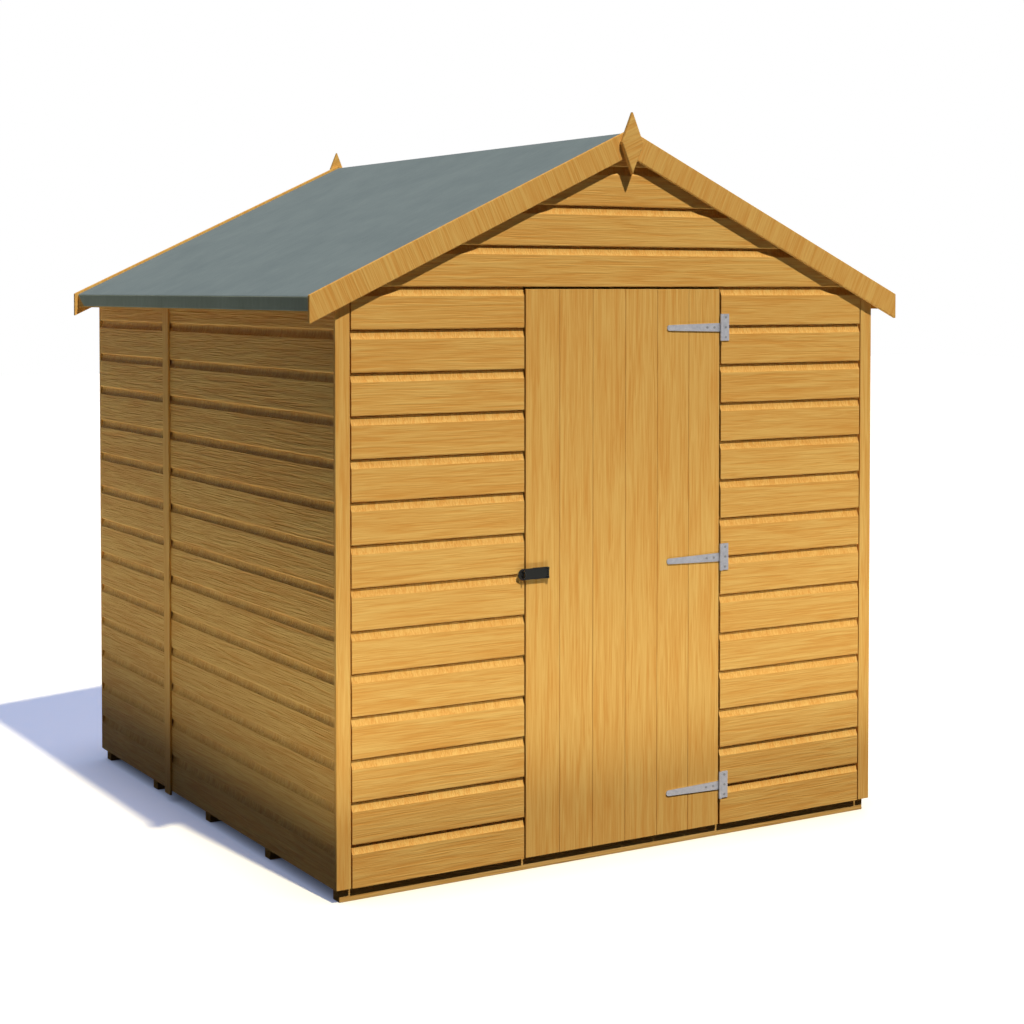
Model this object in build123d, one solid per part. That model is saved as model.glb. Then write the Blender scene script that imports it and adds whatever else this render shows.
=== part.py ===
from build123d import *
import math
import os

# A small wooden apex shed with one boarded door in its front gable.
# Millimetres, +Z up. The origin is on the ground under the middle, and the front faces -Y.

# Wall panels
wall_width = 1814.0             # across the front, over the side boards
wall_length = 1846.0            # front to back, over the front and back boards
board_cover = 112.5             # height that one cladding board shows
head_board_count = 14           # boards from the foot of the front wall to the door head
eaves_drop = 6.0                # tops of the side boards, below the door head
cladding_thickness = 12.0
stud_width = 44.0
stud_depth = 30.0
board_end_gap = 4.0             # between the corner strips and the ends of the front boards
side_joint_from_front = 1205.0  # where the two panels of a side wall meet
side_joint_gap = 1.0
joint_strip_width = 46.5
joint_strip_thickness = 12.0
long_panel_stud_count = 3
short_panel_stud_count = 2

# Floor
bearer_height = 25.0
bearer_width = 38.0
bearer_count = 5
floor_board_thickness = 11.0

# Roof
roof_rise_share = 0.4683        # rise of the roof over its run
roof_board_thickness = 11.0
felt_thickness = 3.0
felt_turn_down = 38.0           # felt that hangs over the edge at the eaves
eaves_overhang = 80.0           # face of the turned-down felt, beyond the side boards
gable_overhang = 8.0            # ends of the roof boards, beyond the front and back boards
eaves_batten_width = 28.0
purlin_width = 44.0
purlin_depth = 44.0
purlin_place_share = 0.52       # middle of a purlin, from the ridge to the side boards
ridge_beam_width = 44.0
ridge_beam_depth = 70.0

# Bargeboards and finials
bargeboard_width = 67.6         # measured square to its edges
bargeboard_thickness = 12.0
bargeboard_upstand = 7.5        # top edge above the felt, measured square to the roof
bargeboard_end = 2.0            # plumb end, beyond the face of the felt
finial_height = 177.0
finial_width = 74.0
finial_thickness = 15.0
finial_above_apex = 49.0        # top of the finial, above the bargeboards' apex

# Door
door_width = 660.0
door_gap = 5.5                  # between the door and the sides and head of the doorway
door_floor_gap = 5.3            # between the back of the door and the edge of the floor
door_board_thickness = 9.0
ledge_height = 95.0
ledge_thickness = 20.0
ledge_inset = 25.0              # ends of the ledges, from the edges of the door
brace_level_width = 85.0        # width of a brace where it is cut level against a ledge

# Tee hinges
hinge_count = 3
hinge_inset = 116.5             # middle of the end hinges, from the foot and the head of the doorway
hinge_metal = 3.0
hinge_plate_reach = 29.0        # far edge of the plate, from the pin
hinge_plate_height = 78.0
hinge_strap_length = 191.0      # tip of the strap, from the pin
hinge_strap_root = 25.0
hinge_strap_tip = 16.0
hinge_knuckle_radius = 5.0
hinge_pin_radius = 3.0

# Hasp and staple
hasp_metal = 3.0
hasp_height = 31.0
hasp_plate_length = 45.0        # far edge of the fixed plate under the strap, from the pin
hasp_pin_inset = 66.5           # pin, from the free edge of the door
hasp_knuckle_radius = 4.5
hasp_knuckle_sink = 0.3         # how far the fixed knuckles run into their plate
hasp_pin_radius = 2.0
hasp_tab_height = 16.0          # middle knuckle of the strap
staple_from_doorway = 8.0
staple_wire_radius = 2.25
staple_half_spread = 7.0        # legs, from the middle of the staple
staple_reach = 20.0             # middle of the bend's top, in front of the boards
staple_base_width = 13.0
staple_base_height = 24.0
staple_base_thickness = 2.0
slot_end_clearance = 2.0        # above and below the staple, in the slot of the strap
slot_side_clearance = 3.5       # beside the staple, so that the strap swings off it

# Running clearances of the metalwork
knuckle_clearance = 0.5
bore_clearance = 0.15
cut_overrun = 5.0

# Places that follow from the sizes
half_width = wall_width / 2
half_length = wall_length / 2
wall_foot = bearer_height + floor_board_thickness
door_head = wall_foot + head_board_count * board_cover
inner_half_width = half_width - cladding_thickness - stud_depth
frame_front = half_length - cladding_thickness
frame_back = frame_front - stud_depth
board_half_width = inner_half_width - board_end_gap
side_joint = side_joint_from_front - half_length
doorway_half_width = door_width / 2 + door_gap
door_bottom = wall_foot
door_top = door_head - door_gap
mid_height = (wall_foot + door_head) / 2
floor_inset = door_board_thickness + door_floor_gap

# Roof planes: heights at the ridge, each plane falling to both sides
upright_share = math.hypot(1, roof_rise_share)
boards_under = door_head - eaves_drop + roof_rise_share * half_width
felt_under = boards_under + roof_board_thickness * upright_share
felt_top = felt_under + felt_thickness * upright_share
bargeboard_top = felt_top + bargeboard_upstand * upright_share
felt_edge = half_width + eaves_overhang
board_edge = felt_edge - felt_thickness
bargeboard_edge = felt_edge + bargeboard_end
roof_half_length = half_length + gable_overhang
turn_down_foot = felt_top - roof_rise_share * felt_edge - felt_turn_down

HANDS = (-1, 1)


def block(xs, ys, zs):
    """Box between two limits on each axis."""
    limits = (xs, ys, zs)
    middle = [sum(pair) / 2 for pair in limits]
    size = [abs(pair[1] - pair[0]) for pair in limits]
    return Pos(*middle) * Box(*size)


def profile(points, ys):
    """Solid with an outline of X, Z points, drawn out between two Y limits."""
    low, high = min(ys), max(ys)
    outline = make_face(Polyline(*[(x, low, z) for x, z in points], close=True))
    return extrude(outline, high - low, dir=(0, 1, 0))


def upright_rod(x, y, zs, radius):
    """Round rod along Z between two heights."""
    return Pos(x, y, sum(zs) / 2) * Cylinder(radius, abs(zs[1] - zs[0]))


def level_disc(x, z, ys, radius):
    """Round disc whose axis runs along Y between two limits."""
    return Pos(x, sum(ys) / 2, z) * Rot(90, 0, 0) * Cylinder(radius, abs(ys[1] - ys[0]))


def on_slope(ridge_height, x):
    """Height of a roof plane at a distance x from the ridge."""
    return ridge_height - roof_rise_share * abs(x)


def under_roof(x):
    return on_slope(boards_under, x)


def under_rafter(x):
    return under_roof(x) - stud_width * upright_share


def side_by_side(low, high, count, width):
    """Spans of one width, evenly spaced, the first and last against the two ends."""
    step = (high - low - width) / (count - 1)
    starts = [low + index * step for index in range(count)]
    return [(start, start + width) for start in starts]


def save(node, *solids):
    shape = solids[0] if len(solids) == 1 else Compound(children=list(solids))
    export_step(shape, f"parts/{node}.step")


# Floor: bearers across the shed, boarded over


def make_floor():
    xs = (-half_width + floor_inset, half_width - floor_inset)
    edge = half_length - floor_inset
    spans = side_by_side(-edge, edge, bearer_count, bearer_width)
    bearers = [block(xs, span, (0, bearer_height)) for span in spans]
    save("floor_bearers", *bearers)
    save("floor_deck", block(xs, (-edge, edge), (bearer_height, wall_foot)))


# Front and back walls: boards outside, a frame of studs, rails and rafters inside


def gable_outline(foot):
    edge_height = under_roof(board_half_width)
    return [
        (-board_half_width, foot),
        (board_half_width, foot),
        (board_half_width, edge_height),
        (0, boards_under),
        (-board_half_width, edge_height),
    ]


def make_front_boards():
    ys = (-half_length, -frame_front)
    for name, hand in zip(("front_wall_left", "front_wall_right"), HANDS):
        xs = (hand * doorway_half_width, hand * board_half_width)
        save(name, block(xs, ys, (wall_foot, door_head)))
    save("front_gable", profile(gable_outline(door_head), ys))


def make_back_boards():
    save("back_wall", profile(gable_outline(wall_foot), (frame_front, half_length)))


def gable_studs(ys):
    inner = inner_half_width - stud_width
    post = doorway_half_width + stud_width
    half = stud_width / 2
    studs = []
    for hand in HANDS:
        corner = [
            (hand * inner_half_width, wall_foot),
            (hand * inner, wall_foot),
            (hand * inner, under_rafter(inner)),
            (hand * inner_half_width, under_rafter(inner_half_width)),
        ]
        studs.append(profile(corner, ys))
        studs.append(block((hand * doorway_half_width, hand * post), ys, (wall_foot, door_head)))
    king = [
        (-half, door_head + stud_width),
        (half, door_head + stud_width),
        (half, under_roof(half)),
        (0, boards_under),
        (-half, under_roof(half)),
    ]
    studs.append(profile(king, ys))
    return studs


def gable_rafters(ys):
    half = stud_width / 2
    rafters = []
    for hand in HANDS:
        outline = [
            (hand * half, under_roof(half)),
            (hand * inner_half_width, under_roof(inner_half_width)),
            (hand * inner_half_width, under_rafter(inner_half_width)),
            (hand * half, under_rafter(half)),
        ]
        rafters.append(profile(outline, ys))
    return rafters


def head_rail(ys):
    """Rail over the doorway, its ends cut to the slope of the rafters."""
    rail_top = door_head + stud_width
    reach = (under_rafter(0) - door_head) / roof_rise_share
    top_reach = (under_rafter(0) - rail_top) / roof_rise_share
    outline = [(-reach, door_head), (reach, door_head), (top_reach, rail_top), (-top_reach, rail_top)]
    return profile(outline, ys)


def rail_heights():
    half = stud_width / 2
    return ((wall_foot, wall_foot + stud_width), (mid_height - half, mid_height + half))


def gable_rails(ys, whole):
    """Foot and middle rails between the studs, across the middle bay too where the wall is whole."""
    post = doorway_half_width + stud_width
    bays = [(hand * post, hand * (inner_half_width - stud_width)) for hand in HANDS]
    if whole:
        bays.append((-doorway_half_width, doorway_half_width))
    rails = [block(bay, ys, zs) for bay in bays for zs in rail_heights()]
    return rails + [head_rail(ys)]


def make_gable_frames():
    for wall, hand in zip(("front", "back"), HANDS):
        ys = (hand * frame_back, hand * frame_front)
        save(f"{wall}_wall_studs", *gable_studs(ys))
        save(f"{wall}_wall_rails", *gable_rails(ys, wall == "back"))
        save(f"{wall}_rafters", *gable_rafters(ys))


# Side walls: a long and a short panel, meeting behind a joint strip


def side_panels():
    half_gap = side_joint_gap / 2
    return ((-frame_front, side_joint - half_gap), (side_joint + half_gap, frame_front))


def make_side_wall(wall, hand):
    outer, inner = half_width, half_width - cladding_thickness
    boards = [
        (hand * outer, wall_foot),
        (hand * inner, wall_foot),
        (hand * inner, under_roof(inner)),
        (hand * outer, under_roof(outer)),
    ]
    for name, ys in zip(("front", "rear"), side_panels()):
        save(f"{wall}_wall_{name}", profile(boards, ys))

    xs = (hand * inner_half_width, hand * inner)
    foot_rail, middle_rail = rail_heights()
    plate_foot = under_roof(inner) - stud_width
    plate = [
        (hand * inner_half_width, plate_foot),
        (hand * inner, plate_foot),
        (hand * inner, under_roof(inner)),
        (hand * inner_half_width, under_roof(inner_half_width)),
    ]
    studs, rails = [], []
    for ys, count in zip(side_panels(), (long_panel_stud_count, short_panel_stud_count)):
        spans = side_by_side(*ys, count, stud_width)
        studs += [block(xs, span, (foot_rail[1], plate_foot)) for span in spans]
        bays = [(before[1], after[0]) for before, after in zip(spans, spans[1:])]
        rails += [block(xs, bay, middle_rail) for bay in bays]
        rails += [block(xs, ys, foot_rail), profile(plate, ys)]
    save(f"{wall}_wall_studs", *studs)
    save(f"{wall}_wall_rails", *rails)

    strip_face = half_width + joint_strip_thickness
    strip = [
        (hand * half_width, wall_foot),
        (hand * strip_face, wall_foot),
        (hand * strip_face, under_roof(strip_face)),
        (hand * half_width, under_roof(half_width)),
    ]
    half = joint_strip_width / 2
    save(f"{wall}_joint_strip", profile(strip, (side_joint - half, side_joint + half)))


def make_corner_strips():
    for wall, end in zip(("front", "back"), HANDS):
        strips = []
        for hand in HANDS:
            outline = [
                (hand * inner_half_width, wall_foot),
                (hand * half_width, wall_foot),
                (hand * half_width, under_roof(half_width)),
                (hand * inner_half_width, under_roof(inner_half_width)),
            ]
            strips.append(profile(outline, (end * frame_front, end * half_length)))
        save(f"{wall}_corner_strips", *strips)


# Roof: boards on battens, felt turned down over the eaves


def make_roof():
    ys = (-roof_half_length, roof_half_length)
    battens, purlins = [], []
    for side, hand in zip(("left", "right"), HANDS):
        boards = [
            (0, boards_under),
            (0, felt_under),
            (hand * board_edge, on_slope(felt_under, board_edge)),
            (hand * board_edge, under_roof(board_edge)),
        ]
        felt = [
            (0, felt_under),
            (0, felt_top),
            (hand * felt_edge, on_slope(felt_top, felt_edge)),
            (hand * felt_edge, turn_down_foot),
            (hand * board_edge, turn_down_foot),
            (hand * board_edge, on_slope(felt_under, board_edge)),
        ]
        save(f"{side}_roof_boards", profile(boards, ys))
        save(f"{side}_roof_felt", profile(felt, ys))

        batten_back = board_edge - eaves_batten_width
        batten = [
            (hand * board_edge, turn_down_foot),
            (hand * batten_back, turn_down_foot),
            (hand * batten_back, under_roof(batten_back)),
            (hand * board_edge, under_roof(board_edge)),
        ]
        battens.append(profile(batten, ys))

        high_side = purlin_place_share * half_width - purlin_width / 2
        low_side = high_side + purlin_width
        purlin_foot = under_roof(low_side) - purlin_depth
        purlin = [
            (hand * high_side, under_roof(high_side)),
            (hand * low_side, under_roof(low_side)),
            (hand * low_side, purlin_foot),
            (hand * high_side, purlin_foot),
        ]
        purlins.append(profile(purlin, (-frame_back, frame_back)))
    save("eaves_battens", *battens)
    save("roof_purlins", *purlins)

    half = ridge_beam_width / 2
    beam_foot = boards_under - ridge_beam_depth
    beam = [
        (0, boards_under),
        (half, under_roof(half)),
        (half, beam_foot),
        (-half, beam_foot),
        (-half, under_roof(half)),
    ]
    save("ridge_beam", profile(beam, (-frame_back, frame_back)))


def make_bargeboards():
    depth = bargeboard_width * upright_share
    face = roof_half_length + bargeboard_thickness
    tip = bargeboard_top + finial_above_apex
    middle = tip - finial_height / 2
    for end, end_hand in zip(("front", "back"), HANDS):
        for side, hand in zip(("left", "right"), HANDS):
            end_top = on_slope(bargeboard_top, bargeboard_edge)
            outline = [
                (0, bargeboard_top),
                (hand * bargeboard_edge, end_top),
                (hand * bargeboard_edge, end_top - depth),
                (0, bargeboard_top - depth),
            ]
            ys = (end_hand * roof_half_length, end_hand * face)
            save(f"{end}_{side}_bargeboard", profile(outline, ys))
        diamond = [
            (0, tip),
            (finial_width / 2, middle),
            (0, tip - finial_height),
            (-finial_width / 2, middle),
        ]
        save(f"{end}_finial", profile(diamond, (end_hand * face, end_hand * (face + finial_thickness))))


# Door: upright boards on three ledges, with two braces rising from the hinges


def hinge_heights():
    low, high = wall_foot + hinge_inset, door_head - hinge_inset
    return [low + index * (high - low) / (hinge_count - 1) for index in range(hinge_count)]


def make_door():
    face = -half_length
    back = face + door_board_thickness
    half = door_width / 2
    save("door_boards", block((-half, half), (face, back), (door_bottom, door_top)))

    reach = half - ledge_inset
    ys = (back, back + ledge_thickness)
    spans = [(height - ledge_height / 2, height + ledge_height / 2) for height in hinge_heights()]
    save("door_ledges", *[block((-reach, reach), ys, span) for span in spans])

    braces = []
    for below, above in zip(spans, spans[1:]):
        outline = [
            (reach, below[1]),
            (reach - brace_level_width, below[1]),
            (-reach, above[0]),
            (-reach + brace_level_width, above[0]),
        ]
        braces.append(profile(outline, ys))
    save("door_braces", *braces)


# Tee hinges: fixed plates with their pins on the wall, straps on the door


def make_hinges():
    pin_x = door_width / 2 + door_gap / 2
    pin_y = -half_length - hinge_knuckle_radius - knuckle_clearance
    ys = (-half_length - hinge_metal, -half_length)
    half_plate, half_root = hinge_plate_height / 2, hinge_strap_root / 2
    plate_edge = pin_x + hinge_knuckle_radius + knuckle_clearance
    tip_x = pin_x - hinge_strap_length + hinge_strap_tip / 2
    plates, straps = [], []
    for height in hinge_heights():
        zs = (height - half_plate, height + half_plate)
        plate = block((plate_edge, pin_x + hinge_plate_reach), ys, zs)
        for hand in HANDS:
            knuckle = (height + hand * (half_root + knuckle_clearance), height + hand * half_plate)
            plate += block((pin_x, plate_edge), ys, knuckle)
            plate += upright_rod(pin_x, pin_y, knuckle, hinge_knuckle_radius)
        plate += upright_rod(pin_x, pin_y, zs, hinge_pin_radius)
        plates.append(plate)

        taper = [
            (pin_x, height - half_root),
            (pin_x, height + half_root),
            (tip_x, height + hinge_strap_tip / 2),
            (tip_x, height - hinge_strap_tip / 2),
        ]
        middle = (height - half_root, height + half_root)
        strap = profile(taper, ys) + level_disc(tip_x, height, ys, hinge_strap_tip / 2)
        strap += upright_rod(pin_x, pin_y, middle, hinge_knuckle_radius)
        strap -= upright_rod(pin_x, pin_y, zs, hinge_pin_radius + bore_clearance)
        straps.append(strap)
    save("hinge_plates", *plates)
    save("hinge_straps", *straps)


# Hasp on the door: its strap folds over its own plate, and its slot over a staple on the wall


def make_hasp():
    pin_x = -door_width / 2 + hasp_pin_inset
    pin_y = -half_length - hasp_metal - hasp_knuckle_radius + hasp_knuckle_sink
    staple_x = -doorway_half_width - staple_from_doorway
    half, half_tab = hasp_height / 2, hasp_tab_height / 2
    zs = (mid_height - half, mid_height + half)

    plate_xs = (pin_x - hasp_plate_length, pin_x + hasp_knuckle_radius)
    plate = block(plate_xs, (-half_length - hasp_metal, -half_length), zs)
    for hand in HANDS:
        knuckle = (mid_height + hand * (half_tab + knuckle_clearance), mid_height + hand * half)
        plate += upright_rod(pin_x, pin_y, knuckle, hasp_knuckle_radius)
    plate += upright_rod(pin_x, pin_y, zs, hasp_pin_radius)
    save("hasp_plate", plate)

    strap_ys = (pin_y - hasp_metal / 2, pin_y + hasp_metal / 2)
    shoulder = pin_x - hasp_knuckle_radius - knuckle_clearance
    tab_zs = (mid_height - half_tab, mid_height + half_tab)
    tab_radius = hasp_knuckle_radius - hasp_knuckle_sink - knuckle_clearance
    strap = block((staple_x, shoulder), strap_ys, zs)
    strap += level_disc(staple_x, mid_height, strap_ys, half)
    strap += block((shoulder, pin_x), strap_ys, tab_zs)
    strap += upright_rod(pin_x, pin_y, tab_zs, tab_radius)
    strap -= upright_rod(pin_x, pin_y, zs, hasp_pin_radius + bore_clearance)
    slot_half_width = staple_wire_radius + slot_side_clearance
    slot_half_height = staple_half_spread + staple_wire_radius + slot_end_clearance
    strap -= block(
        (staple_x - slot_half_width, staple_x + slot_half_width),
        (strap_ys[0] - cut_overrun, strap_ys[1] + cut_overrun),
        (mid_height - slot_half_height, mid_height + slot_half_height),
    )
    save("hasp_strap", strap)

    base = block(
        (staple_x - staple_base_width / 2, staple_x + staple_base_width / 2),
        (-half_length - staple_base_thickness, -half_length),
        (mid_height - staple_base_height / 2, mid_height + staple_base_height / 2),
    )
    bend_y = -half_length - staple_reach + staple_half_spread
    low_z, high_z = mid_height - staple_half_spread, mid_height + staple_half_spread
    leg = Line((staple_x, -half_length, low_z), (staple_x, bend_y, low_z))
    top = (staple_x, bend_y - staple_half_spread, mid_height)
    bend = ThreePointArc(leg @ 1, top, (staple_x, bend_y, high_z))
    route = Wire([leg, bend, Line(bend @ 1, (staple_x, -half_length, high_z))])
    wire = sweep(Plane(leg @ 0, z_dir=leg % 0) * Circle(staple_wire_radius), route)
    save("hasp_staple", base + wire)


os.makedirs("parts", exist_ok=True)
make_floor()
make_front_boards()
make_back_boards()
make_gable_frames()
make_side_wall("left", HANDS[0])
make_side_wall("right", HANDS[1])
make_corner_strips()
make_roof()
make_bargeboards()
make_door()
make_hinges()
make_hasp()
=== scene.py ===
# %% [markdown]
# A wooden garden shed, dressed in Blender
#
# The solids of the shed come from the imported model: every piece is there at its real size, but plain.
# Each wall is one slab, the door is one slab, and nothing has a finish. In this lesson the slabs become
# boards, the sharp edges are eased as a plane or a router eases them, the fittings get their screws, and
# wood, felt and steel get materials. All sizes are in metres, in the same frame as the solids.

import math
import random

import bmesh
import bpy
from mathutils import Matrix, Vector


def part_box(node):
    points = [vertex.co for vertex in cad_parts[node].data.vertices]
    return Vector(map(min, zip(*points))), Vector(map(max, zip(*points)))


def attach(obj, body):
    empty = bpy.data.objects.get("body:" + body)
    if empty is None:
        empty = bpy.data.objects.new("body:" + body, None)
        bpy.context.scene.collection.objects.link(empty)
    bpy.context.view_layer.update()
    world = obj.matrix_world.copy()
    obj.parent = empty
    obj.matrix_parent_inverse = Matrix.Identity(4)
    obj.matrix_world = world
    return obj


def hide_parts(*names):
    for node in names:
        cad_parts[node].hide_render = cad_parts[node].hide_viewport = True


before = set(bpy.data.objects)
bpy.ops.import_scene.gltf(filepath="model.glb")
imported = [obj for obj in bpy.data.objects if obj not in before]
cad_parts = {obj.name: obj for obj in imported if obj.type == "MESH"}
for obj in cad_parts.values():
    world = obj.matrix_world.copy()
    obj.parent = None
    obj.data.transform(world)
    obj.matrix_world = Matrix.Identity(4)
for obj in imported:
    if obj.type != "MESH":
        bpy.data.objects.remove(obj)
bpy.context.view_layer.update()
chance = random.Random(6)

# %% [markdown]
# Working tools
#
# By hand a maker selects, cuts and moves. The same few moves come back for every piece, so they are
# small functions here: clear the selection, start a block, go into edit mode, pick corners, edges or
# faces by their place, cut along a plane, apply a modifier, and repeat a piece. Operators act on all that
# is selected, and loading leaves the solids selected, so each function starts from an empty selection.

# %% Select, start and cut
TINY = 1e-5


def deselect_all():
    if bpy.context.object and bpy.context.object.mode == "EDIT":
        bpy.ops.object.mode_set(mode="OBJECT")
    bpy.ops.object.select_all(action="DESELECT")


def make_active(piece):
    deselect_all()
    bpy.context.view_layer.objects.active = piece
    piece.select_set(True)


def start_block(name, low, high):
    """A cube primitive stretched between two corners: the blank that a piece is worked from."""
    deselect_all()
    low, high = Vector(low), Vector(high)
    bpy.ops.mesh.primitive_cube_add(size=1, location=(low + high) / 2)
    piece = bpy.context.object
    piece.name = piece.data.name = name
    piece.scale = high - low
    bpy.ops.object.transform_apply(location=True, rotation=True, scale=True)
    return piece


def edit(piece):
    make_active(piece)
    bpy.ops.object.mode_set(mode="EDIT")


def slice_at(point, normal, drop=False):
    """Cuts the piece in edit mode. With drop, what lies beyond the plane goes and the cut is closed."""
    bpy.ops.mesh.select_all(action="SELECT")
    bpy.ops.mesh.bisect(plane_co=point, plane_no=normal, clear_outer=drop, use_fill=drop)


def pick_corners(piece, test):
    bpy.ops.mesh.select_mode(type="VERT")
    bpy.ops.mesh.select_all(action="DESELECT")
    mesh = bmesh.from_edit_mesh(piece.data)
    for corner in mesh.verts:
        corner.select = test(corner.co)
    mesh.select_flush_mode()
    bmesh.update_edit_mesh(piece.data)


def pick_edges(piece, test):
    bpy.ops.mesh.select_mode(type="EDGE")
    bpy.ops.mesh.select_all(action="DESELECT")
    mesh = bmesh.from_edit_mesh(piece.data)
    for edge in mesh.edges:
        edge.select = test(edge.verts[0].co) and test(edge.verts[1].co)
    mesh.select_flush_mode()
    bmesh.update_edit_mesh(piece.data)


def pick_faces(piece, test):
    bpy.ops.mesh.select_mode(type="FACE")
    bpy.ops.mesh.select_all(action="DESELECT")
    mesh = bmesh.from_edit_mesh(piece.data)
    mesh.normal_update()
    for face in mesh.faces:
        face.select = test(face.calc_center_median(), face.normal)
    mesh.select_flush_mode()
    bmesh.update_edit_mesh(piece.data)


def apply_modifier(piece, kind, **settings):
    make_active(piece)
    modifier = piece.modifiers.new(kind.title(), kind)
    for setting, value in settings.items():
        setattr(modifier, setting, value)
    bpy.ops.object.modifier_apply(modifier=modifier.name)


def repeat(piece, count, step):
    """An array of copies, each one moved on by a step."""
    apply_modifier(
        piece, "ARRAY", count=count, use_relative_offset=False,
        use_constant_offset=True, constant_offset_displace=step,
    )


def place(piece, location, turn=0.0):
    """Moves a piece to its place, turned about the upright, with the place then kept in its mesh."""
    make_active(piece)
    piece.location = location
    piece.rotation_euler = (0, 0, turn)
    bpy.ops.object.transform_apply(location=True, rotation=True, scale=True)


# %% [markdown]
# Grain
#
# Every plank on a real shed has its own grain, which runs along the plank. Object coordinates alone
# would run one pattern through all planks at once, so each plank stores where its points lie: along,
# across and through the grain, each plank shifted by a random step. The wood materials read this
# attribute. On the coves and the bargeboards of this shed the grain is drawn across the piece, so the
# faces of a cove, or a whole piece, can be given another direction.

# %% Store the grain of every plank
GRAIN = "grain"
GRAIN_SPREAD = 20.0


def planks_of(mesh):
    """Groups of faces that hang together: one group for each plank of a piece."""
    seen, planks = set(), []
    for first in mesh.faces:
        if first.index in seen:
            continue
        seen.add(first.index)
        plank, waiting = [], [first]
        while waiting:
            face = waiting.pop()
            plank.append(face)
            for near in (other for edge in face.edges for other in edge.link_faces):
                if near.index not in seen:
                    seen.add(near.index)
                    waiting.append(near)
        planks.append(plank)
    return planks


def cross_axes(along, corners):
    """The directions across and through a plank, the thin one last."""
    side = Vector((1, 0, 0)) if abs(along.y) > abs(along.x) else Vector((0, 1, 0))
    other = along.cross(side).normalized()
    side = other.cross(along)
    reach = {axis: [corner.dot(axis) for corner in corners] for axis in (side.freeze(), other.freeze())}
    return sorted(reach, key=lambda axis: min(reach[axis]) - max(reach[axis]))


def lay_grain(piece, along, turned=None):
    """Stores the grain of planks that run along a direction; turned picks faces with cross grain."""
    along = Vector(along).normalized()
    mesh = bmesh.new()
    mesh.from_mesh(piece.data)
    mesh.faces.index_update()
    layer = mesh.loops.layers.float_vector.new(GRAIN)
    planks = planks_of(mesh)
    for plank in planks:
        corners = [loop.vert.co for face in plank for loop in face.loops]
        across, through = cross_axes(along, corners)
        foot = min(corner.z for corner in corners)
        shift = Vector([chance.uniform(0, GRAIN_SPREAD) for axis in range(3)])
        for face in plank:
            swap = turned is not None and turned(face, foot)
            for loop in face.loops:
                spot = loop.vert.co
                u, v, w = spot.dot(along), spot.dot(across), spot.dot(through)
                loop[layer] = Vector((v, u, w) if swap else (u, v, w)) + shift
    mesh.to_mesh(piece.data)
    mesh.free()
    return len(planks)


# %% [markdown]
# Finishing a piece
#
# A finished piece gets its shading, its material, the body that it moves with, and the solids that it
# stands for. Blunt edges are shaded round, so an eased edge or a cove reads as a curve and a crease stays
# sharp, and the normals are weighted by area, so flat faces stay flat.

# %% Hand a piece over to the frame
ROUND_ANGLE = math.radians(40)


def finish_piece(piece, material, slot, body, *nodes, round_angle=ROUND_ANGLE):
    make_active(piece)
    bpy.ops.object.shade_smooth_by_angle(angle=round_angle)
    apply_modifier(piece, "WEIGHTED_NORMAL", keep_sharp=True)
    piece.data.materials.clear()
    piece.data.materials.append(material)
    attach(piece, body)
    if nodes:
        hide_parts(*nodes)
    return piece


# %% [markdown]
# Materials
#
# A material is a small network of nodes. To keep it readable, one function adds a node and fills its
# sockets: a socket of another node is linked, and anything else is a value. Numbers that are the same
# all over a surface are set on the shader itself.

# %% Add nodes and start a material


def add_node(tree, kind, inputs=None, **settings):
    made = tree.nodes.new("ShaderNode" + kind)
    for setting, value in settings.items():
        setattr(made, setting, value)
    for socket, value in (inputs or {}).items():
        if isinstance(value, bpy.types.NodeSocket):
            tree.links.new(value, made.inputs[socket])
        else:
            made.inputs[socket].default_value = value
    return made


def start_material(name, **sockets):
    material = bpy.data.materials.new(name)
    material.use_nodes = True
    shader = material.node_tree.nodes["Principled BSDF"]
    for socket, value in sockets.items():
        shader.inputs[socket.replace("_", " ")].default_value = value
    return material, material.node_tree, shader


def noise(tree, vector, stretch, detail, roughness, distortion=0.0):
    """A noise pattern, stretched by its number of waves to the metre on each axis."""
    mapped = add_node(tree, "Mapping", {"Vector": vector, "Scale": stretch})
    inputs = {
        "Vector": mapped.outputs[0],
        "Scale": 1.0,
        "Detail": detail,
        "Roughness": roughness,
        "Distortion": distortion,
    }
    return add_node(tree, "TexNoise", inputs).outputs[0]


def math_node(tree, operation, first, second, third=None):
    inputs = {0: first, 1: second}
    if third is not None:
        inputs[2] = third
    return add_node(tree, "Math", inputs, operation=operation).outputs[0]


def colour_ramp(tree, factor, *stops):
    """Colours at places from 0 to 1, blended between."""
    ramp = add_node(tree, "ValToRGB", {"Fac": factor})
    points = ramp.color_ramp.elements
    while len(points) < len(stops):
        points.new(1.0)
    for point, (position, colour) in zip(points, stops):
        point.position = position
        point.color = (*colour, 1)
    return ramp.outputs["Color"]


def bump(tree, height, distance, strength=1.0):
    inputs = {"Height": height, "Distance": distance, "Strength": strength}
    return add_node(tree, "Bump", inputs).outputs["Normal"]


# %% [markdown]
# Stained softwood
#
# The boards are softwood under a honey stain: pale early wood, darker amber late wood, and fine fibres
# along the grain. Late wood shows as long pointed arches, which are contour lines of the growth rings
# where the saw cuts through them. A slow noise that is drawn out along the plank has such contours, so
# its value is folded back and forth many times. Two finely combed noises give the streaks and fibres,
# and a fourth lets the stain drift a little from place to place. The side boards came rougher from the
# saw, so their wood has the same recipe with a deeper relief and more contrast. The timber of the frame
# has no stain, so it is paler and duller.

# %% Make the three woods
growth_waves = (0.9, 11.0, 11.0)
streak_waves = (4.5, 125.0, 125.0)
fibre_waves = (9.0, 260.0, 260.0)
drift_waves = (1.3, 5.0, 5.0)
ring_folds = 11.0
tone_start = -0.87
ring_weight = -0.26
streak_weight = 1.7
fibre_weight = 1.0
drift_weight = 0.30


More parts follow.
